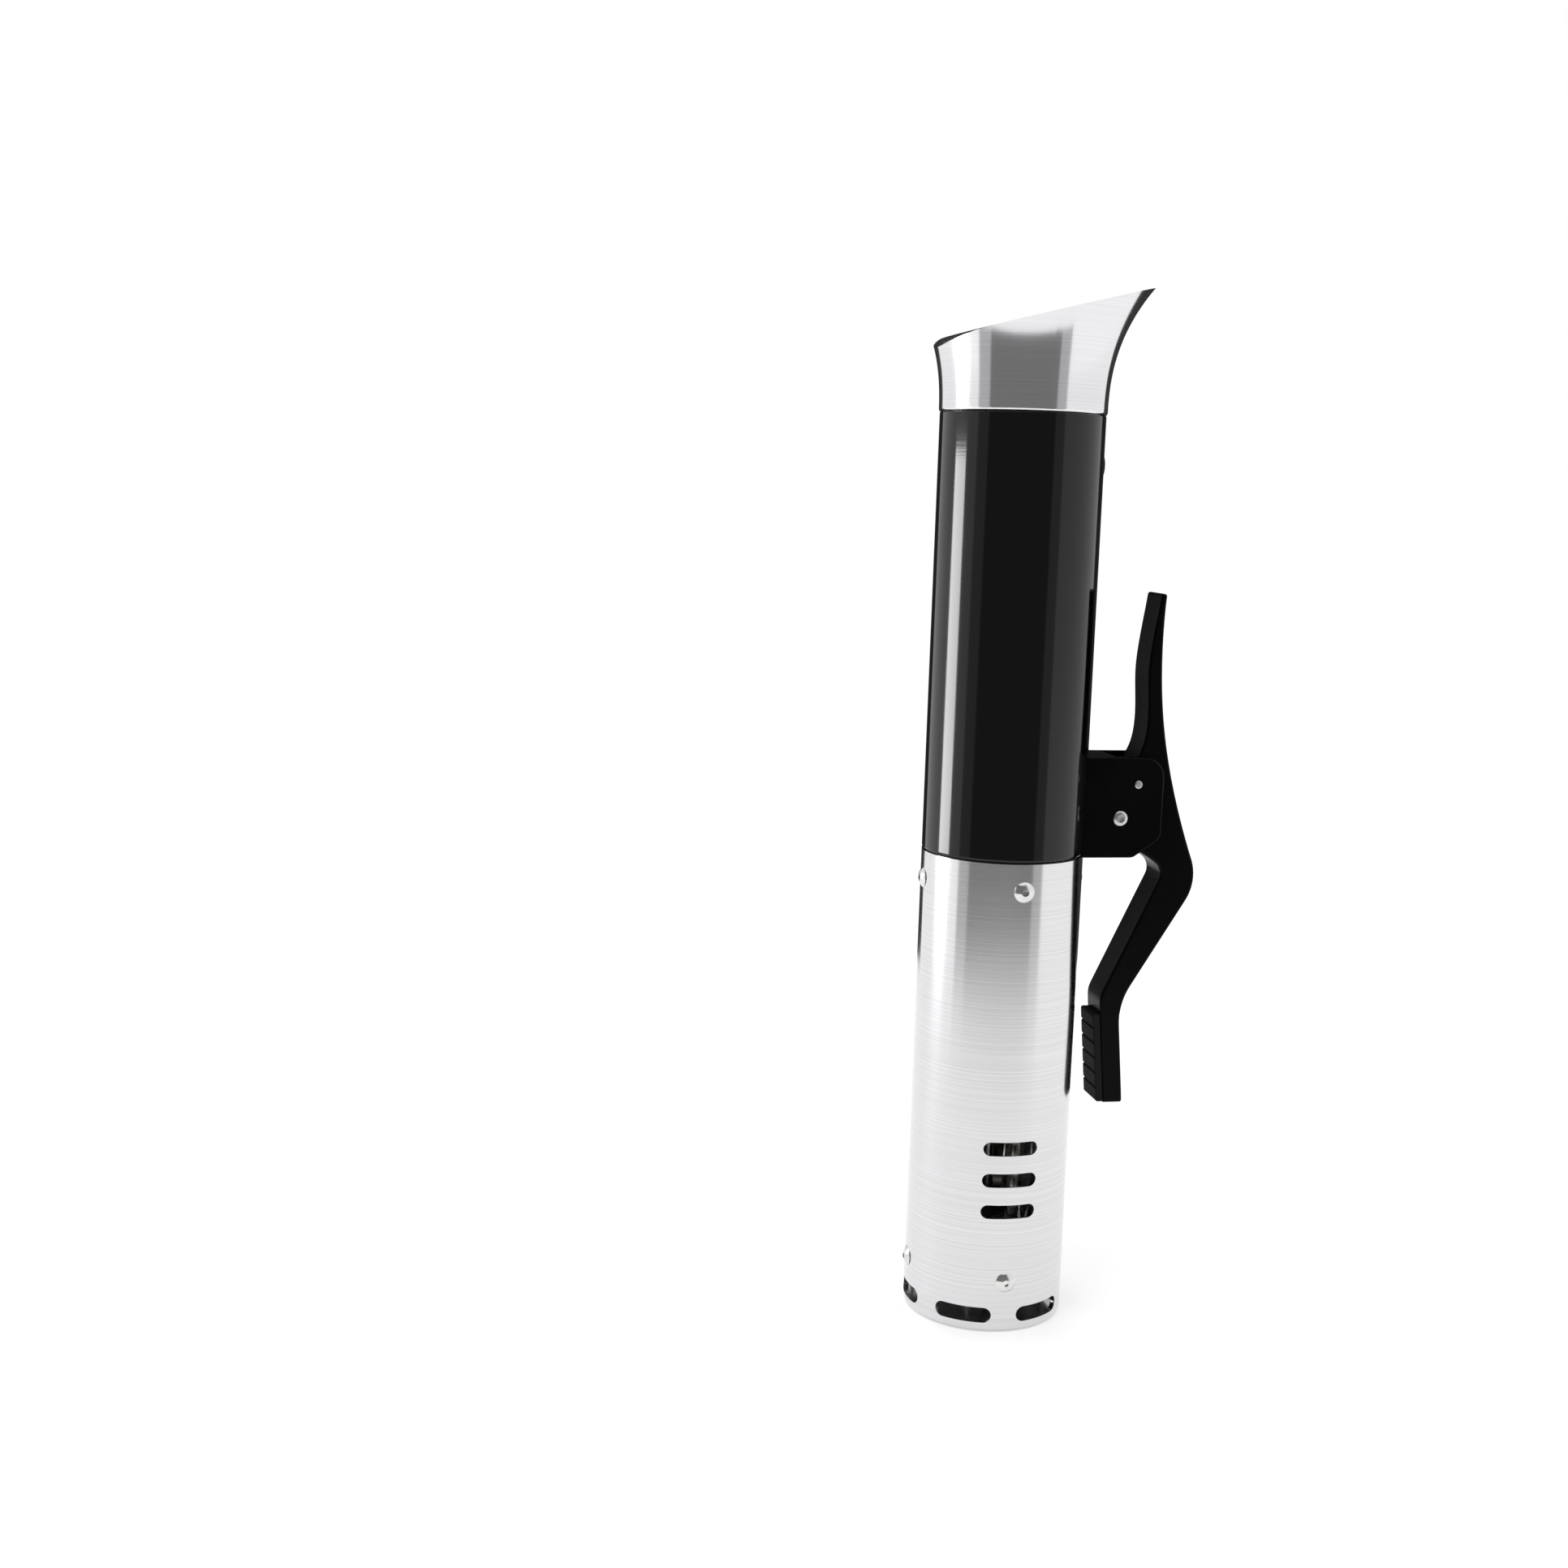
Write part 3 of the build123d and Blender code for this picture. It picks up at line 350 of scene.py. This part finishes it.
# ---- display face ------------------------------------------------------------------------------
TILT = radians(14.8)
glass_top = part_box("display_glass")[1]
face_frame = Matrix(((1, 0, 0, 0), (0, cos(TILT), -sin(TILT), 0),
                     (0, sin(TILT), cos(TILT), glass_top[2] - glass_top[1] * tan(TILT)), (0, 0, 0, 1)))
MARK_THICK = 0.00004
WELL_MIDDLE = 0.003
BIG_DIGIT, SMALL_DIGIT, UNIT_DIGIT = (0.0054, 0.0104), (0.0026, 0.0050), (0.0022, 0.0042)
BIG_ROW, SMALL_ROW = 0.0062, -0.0052
KEY_RING_R, KEY_LINE = 0.0034, 0.00022
KEY_ACROSS, KEY_ROW, START_ROW = 0.0136, -0.0092, -0.0150

lit_segments = new_finish("lit_segments", (0.55, 0.75, 0.85), 0.30)
lit_spread = grain(lit_segments, (900, 900, 900), 2)
tint(lit_segments, lit_spread, (0.50, 0.70, 0.80), (0.62, 0.84, 0.94))
vary_roughness(lit_segments, lit_spread, 0.26, 0.34)
shader_of(lit_segments).inputs["Emission Color"].default_value = (0.52, 0.83, 1.0, 1)
shader_of(lit_segments).inputs["Emission Strength"].default_value = 0.85
printed_marks = moulded_plastic(
    "printed_grey_ink", (0.36, 0.37, 0.39), (0.46, 0.47, 0.49), 0.45, 0.000003, 2500)


def flat_mark(outline):
    """A thin mark with this outline, in metres on the display face."""
    bpy.ops.object.select_all(action="DESELECT")
    bpy.ops.mesh.primitive_circle_add(vertices=len(outline), radius=0.001, fill_type="NGON")
    mark = bpy.context.object
    for vertex, (across, along) in zip(mark.data.vertices, outline):
        vertex.co = (across, along, 0)
    bpy.ops.object.mode_set(mode="EDIT")
    bpy.ops.mesh.select_all(action="SELECT")
    bpy.ops.mesh.extrude_region_move(TRANSFORM_OT_translate={"value": (0, 0, MARK_THICK)})
    bpy.ops.mesh.select_all(action="SELECT")
    bpy.ops.mesh.normals_make_consistent(inside=False)
    bpy.ops.object.mode_set(mode="OBJECT")
    mark.select_set(False)
    return mark


def ring_mark(reach, width):
    """A thin round line on the display face."""
    bpy.ops.object.select_all(action="DESELECT")
    bpy.ops.mesh.primitive_circle_add(vertices=96, radius=reach, fill_type="NOTHING")
    mark = bpy.context.object
    bpy.ops.object.mode_set(mode="EDIT")
    bpy.ops.mesh.select_all(action="SELECT")
    bpy.ops.mesh.extrude_edges_move()
    inward = (reach - width) / reach
    bpy.ops.transform.resize(value=(inward, inward, 1), center_override=(0, 0, 0))
    bpy.ops.mesh.select_all(action="SELECT")
    bpy.ops.mesh.extrude_region_move(TRANSFORM_OT_translate={"value": (0, 0, MARK_THICK)})
    bpy.ops.mesh.select_all(action="SELECT")
    bpy.ops.mesh.normals_make_consistent(inside=False)
    bpy.ops.object.mode_set(mode="OBJECT")
    mark.select_set(False)
    return mark


def put_on_face(parts, name, finish):
    """Joins marks that lie flat round the origin and lays them on the display glass."""
    bpy.ops.object.select_all(action="DESELECT")
    for part in parts:
        part.select_set(True)
    bpy.context.view_layer.objects.active = parts[0]
    if len(parts) > 1:
        bpy.ops.object.join()
    whole = bpy.context.object
    whole.name = whole.data.name = name
    bpy.ops.object.transform_apply(location=True, rotation=True, scale=True)
    whole.data.transform(face_frame @ Matrix.Translation((0, WELL_MIDDLE, 0.00001)))
    return settle(whole, (0, 0, 0), (0, 0, 0), finish)


def bar(length, width, across, along, upright):
    tip = width / 2
    reach = length / 2
    mark = flat_mark([(-reach, 0), (tip - reach, -tip), (reach - tip, -tip), (reach, 0),
                      (reach - tip, tip), (tip - reach, tip)])
    mark.location = (across, along, 0)
    mark.rotation_euler = (0, 0, pi / 2 if upright else 0)
    return mark


LIT_BARS = {"0": "abcdef", "1": "bc", "3": "abcdg", "6": "acdefg", "C": "adef"}


def digit(sign, wide, tall, across, along):
    """The lit bars of one seven-bar digit."""
    stroke = tall * 0.11
    gap = stroke * 0.35
    places = {
        "a": (0, tall / 2, False), "g": (0, 0, False), "d": (0, -tall / 2, False),
        "b": (wide / 2, tall / 4, True), "c": (wide / 2, -tall / 4, True),
        "f": (-wide / 2, tall / 4, True), "e": (-wide / 2, -tall / 4, True)}
    bars = []
    for letter in LIT_BARS[sign]:
        right, rise, upright = places[letter]
        length = (tall / 2 if upright else wide) - gap
        bars.append(bar(length, stroke, across + right, along + rise, upright))
    return bars


def dot(side, across, along):
    half = side / 2
    mark = flat_mark([(-half, -half), (half, -half), (half, half), (-half, half)])
    mark.location = (across, along, 0)
    return mark


big = []
for sign, across in (("6", -0.0125), ("0", -0.0041), ("0", 0.0063)):
    big += digit(sign, *BIG_DIGIT, across, BIG_ROW)
big.append(dot(0.0012, 0.0011, 0.0010))
put_on_face(big, "temperature_digits", lit_segments)

unit = digit("C", *UNIT_DIGIT, 0.0148, 0.0093)
degree_ring = ring_mark(0.0008, 0.00028)
degree_ring.location = (0.0122, 0.0113, 0)
put_on_face([degree_ring] + unit, "unit_mark", lit_segments)

small = []
for sign, across in (("1", -0.0048), ("3", 0.0008), ("0", 0.0054)):
    small += digit(sign, *SMALL_DIGIT, across, SMALL_ROW)
small += [dot(0.0006, -0.0020, -0.0040), dot(0.0006, -0.0020, -0.0064)]
put_on_face(small, "time_digits", lit_segments)

arm, half = 0.0019, 0.00028
plus = flat_mark([(-arm, -half), (-half, -half), (-half, -arm), (half, -arm), (half, -half), (arm, -half),
                  (arm, half), (half, half), (half, arm), (-half, arm), (-half, half), (-arm, half)])
minus = flat_mark([(-arm, -half), (arm, -half), (arm, half), (-arm, half)])
start = flat_mark([(-0.0011, -0.0016), (0.0017, 0.0), (-0.0011, 0.0016)])
for sign, name, across, along in (
        (plus, "raise_mark", KEY_ACROSS, KEY_ROW), (minus, "lower_mark", -KEY_ACROSS, KEY_ROW),
        (start, "start_mark", 0, START_ROW)):
    key_ring = ring_mark(KEY_RING_R, KEY_LINE)
    sign.location = key_ring.location = (across, along, 0)
    put_on_face([sign, key_ring], name, printed_marks)
put_on_face([ring_mark(0.0226, 0.0003)], "face_ring", printed_marks)

# ---- studio ------------------------------------------------------------------------------------
view_from = radians(-17.0)
CAMERA_AZIMUTH, CAMERA_REACH, CAMERA_HEIGHT = radians(73.0), 0.7528, 0.31535


def paint_tree(name):
    paint = bpy.data.materials.new(name)
    paint.use_nodes = True
    paint.node_tree.nodes.clear()
    return paint, paint.node_tree.nodes, paint.node_tree.links


def even_glow(name, tone, strength):
    """The same grey glow over a whole card."""
    paint, nodes, links = paint_tree(name)
    glow = nodes.new("ShaderNodeEmission")
    glow.inputs["Color"].default_value = (tone, tone, tone, 1)
    glow.inputs["Strength"].default_value = strength
    surface = nodes.new("ShaderNodeOutputMaterial")
    links.new(glow.outputs["Emission"], surface.inputs["Surface"])
    return paint


def hang(card, name, paint):
    """Puts a card in the studio: only glossy finishes see it, and it throws no light or shadow."""
    card.name = name
    card.data.materials.append(paint)
    card.visible_camera = False
    card.visible_diffuse = False
    card.visible_shadow = False
    card.visible_transmission = False
    bpy.ops.object.mode_set(mode="OBJECT")
    bpy.ops.object.transform_apply(location=True, rotation=True, scale=True)
    card.select_set(False)
    return card


def keep_sector(card, first, last):
    """Cuts a round card down to the part from first to last degrees, seen from the camera's direction."""
    def outside(face):
        turn = degrees(atan2(face.center.y, face.center.x) - view_from)
        return (turn - first) % 360 > last - first

    select_faces(card, outside)
    bpy.ops.mesh.delete(type="FACE")
    bpy.ops.object.mode_set(mode="OBJECT")


def curved_card(name, first, last, reach, bottom, top, paint):
    """A card bent round the part, from first to last degrees as seen from the camera's direction."""
    bpy.ops.mesh.primitive_cylinder_add(
        vertices=180, radius=reach, depth=top - bottom, end_fill_type="NOTHING",
        location=(0, 0, (top + bottom) / 2))
    card = bpy.context.object
    keep_sector(card, first, last)
    return hang(card, name, paint)


# The pale surround stays open on both sides. A grey card with lighter wings stands on the camera's side,
# a dark one behind each edge of the part, and one soft box on the left.
CARD_REACH, SOFT_BOX_REACH, CARD_TOP = 0.60, 0.57, 0.90
GREY_HALF, WING_HALF, EDGE_FROM = 45, 60, 140
SOFT_BOX_SECTOR, SOFT_BOX_STRENGTH = (-100, -80), 15.0
GREY, LIGHT_GREY, DARK = 0.20, 0.50, 0.04
soft_box_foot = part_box("skirt")[1][2] * 0.40
soft_box_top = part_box("body_tube")[1][2]
middle_glow = even_glow("grey_card", GREY, 1.0)
wing_glow = even_glow("light_grey_card", LIGHT_GREY, 1.0)
dark_glow = even_glow("dark_card", DARK, 1.0)
for name, first, last, paint in (
        ("left_edge_card", -180, -EDGE_FROM, dark_glow),
        ("left_wing_card", -WING_HALF, -GREY_HALF, wing_glow),
        ("grey_card", -GREY_HALF, GREY_HALF, middle_glow),
        ("right_wing_card", GREY_HALF, WING_HALF, wing_glow),
        ("right_edge_card", EDGE_FROM, 180, dark_glow)):
    curved_card(name, first, last, CARD_REACH, 0.0, CARD_TOP, paint)
curved_card("soft_box", *SOFT_BOX_SECTOR, SOFT_BOX_REACH, soft_box_foot, soft_box_top,
            even_glow("soft_box", 1.0, SOFT_BOX_STRENGTH))

world = bpy.data.worlds.new("studio")
bpy.context.scene.world = world
world.use_nodes = True
sky = world.node_tree
sky.nodes.clear()
path = sky.nodes.new("ShaderNodeLightPath")
seen = sky.nodes.new("ShaderNodeMath")
seen.operation = "MAXIMUM"
seen_through = sky.nodes.new("ShaderNodeMath")
seen_through.operation = "MAXIMUM"
ambient = sky.nodes.new("ShaderNodeBackground")
ambient.inputs["Strength"].default_value = 0.85
ambient.inputs["Color"].default_value = (1, 1, 1, 1)
white = sky.nodes.new("ShaderNodeBackground")
white.inputs["Strength"].default_value = 1.0
white.inputs["Color"].default_value = (1, 1, 1, 1)
pick = sky.nodes.new("ShaderNodeMixShader")
horizon = sky.nodes.new("ShaderNodeOutputWorld")
sky.links.new(path.outputs["Is Camera Ray"], seen.inputs[0])
sky.links.new(path.outputs["Is Glossy Ray"], seen.inputs[1])
sky.links.new(seen.outputs["Value"], seen_through.inputs[0])
sky.links.new(path.outputs["Is Transmission Ray"], seen_through.inputs[1])
sky.links.new(seen_through.outputs["Value"], pick.inputs["Fac"])
sky.links.new(ambient.outputs["Background"], pick.inputs[1])
sky.links.new(white.outputs["Background"], pick.inputs[2])
sky.links.new(pick.outputs["Shader"], horizon.inputs["Surface"])

bpy.ops.mesh.primitive_plane_add(size=16, location=(0, 0, -0.0002))
floor = bpy.context.object
floor.name = "floor"
floor_paint, nodes, links = paint_tree("pale_floor")
matt = nodes.new("ShaderNodeBsdfDiffuse")
matt.inputs["Color"].default_value = (0.93, 0.93, 0.93, 1)
glow = nodes.new("ShaderNodeEmission")
glow.inputs["Strength"].default_value = 0.24
both = nodes.new("ShaderNodeAddShader")
surface = nodes.new("ShaderNodeOutputMaterial")
links.new(matt.outputs["BSDF"], both.inputs[0])
links.new(glow.outputs["Emission"], both.inputs[1])
links.new(both.outputs["Shader"], surface.inputs["Surface"])
floor.data.materials.append(floor_paint)
floor.select_set(False)


def soft_lamp(name, place, size, power):
    lamp = bpy.data.lights.new(name, "AREA")
    lamp.shape = "SQUARE"
    lamp.size = size
    lamp.energy = power
    holder = bpy.data.objects.new(name, lamp)
    bpy.context.scene.collection.objects.link(holder)
    holder.location = place
    holder.rotation_euler = (Vector((0, 0, 0.2)) - Vector(place)).to_track_quat("-Z", "Y").to_euler()
    holder.visible_glossy = False
    return holder


soft_lamp("key_lamp", (0.9, -1.3, 1.7), 1.2, 6)
soft_lamp("fill_lamp", (0.4, 1.6, 1.5), 1.4, 3)

# ---- camera ------------------------------------------------------------------------------------
SENSOR_WIDTH, FOCAL_LENGTH = 36, 45.13
PITCH, ROLL, YAW = radians(8.344), radians(1.790), radians(-6.48)
ahead = Vector((-sin(CAMERA_AZIMUTH), cos(CAMERA_AZIMUTH), 0))
aside = Vector((cos(CAMERA_AZIMUTH), sin(CAMERA_AZIMUTH), 0))
turned_ahead = cos(YAW) * ahead + sin(YAW) * aside
right = cos(YAW) * aside - sin(YAW) * ahead
forward = cos(PITCH) * turned_ahead - sin(PITCH) * Vector((0, 0, 1))
up = right.cross(forward)
rolled_right = cos(ROLL) * right + sin(ROLL) * up
rolled_up = cos(ROLL) * up - sin(ROLL) * right

lens = bpy.data.cameras.new("camera")
lens.sensor_width = SENSOR_WIDTH
lens.lens = FOCAL_LENGTH
lens.clip_start = 0.01
camera = bpy.data.objects.new("camera", lens)
bpy.context.scene.collection.objects.link(camera)
axes = Matrix((rolled_right, rolled_up, -forward)).transposed().to_4x4()
axes.translation = (sin(CAMERA_AZIMUTH) * CAMERA_REACH, -cos(CAMERA_AZIMUTH) * CAMERA_REACH, CAMERA_HEIGHT)
camera.matrix_world = axes
bpy.context.scene.camera = camera
bpy.context.scene.view_settings.view_transform = "Standard"
